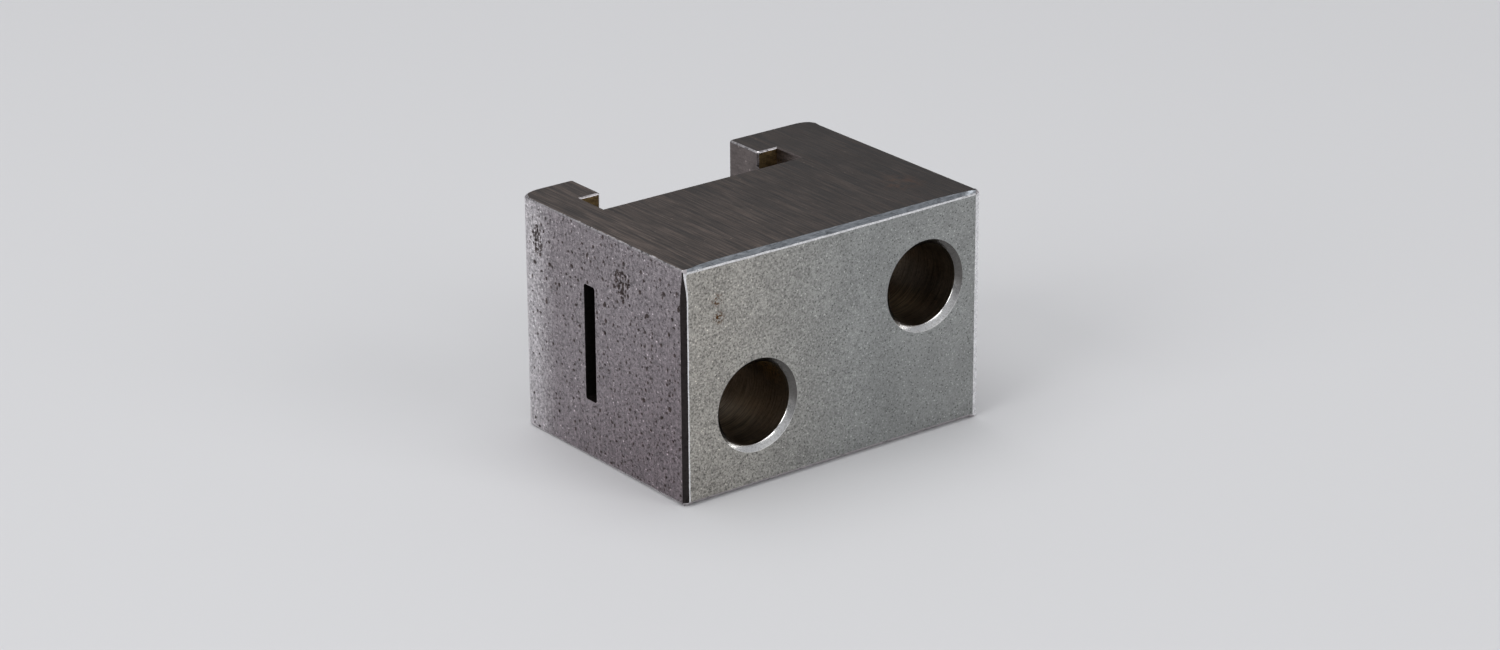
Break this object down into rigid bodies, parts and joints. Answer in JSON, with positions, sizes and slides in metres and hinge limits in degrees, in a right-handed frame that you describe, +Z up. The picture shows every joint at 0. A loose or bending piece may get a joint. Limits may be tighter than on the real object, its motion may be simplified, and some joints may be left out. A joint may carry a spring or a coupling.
{
  "type": "machined mounting block",
  "caption": "Small steel mounting block with a full-height T-slot in its back, two chamfered bores on a diagonal and a narrow blind slot in one end.",
  "frame": {"origin": "centre of the underside's outline, on the underside", "axes": "+X along the block's length, away from the end with the narrow slot; +Y from the bored front face to the back with the T-slot; +Z up, along the T-slot"},
  "size_m": [0.0374, 0.0278, 0.025],
  "materials": {
    "steel": "ground, spark-eroded and lightly pitted, bare"
  },
  "bodies": {
    "root": {"mounting_block": "steel"}
  },
  "joints": []
}
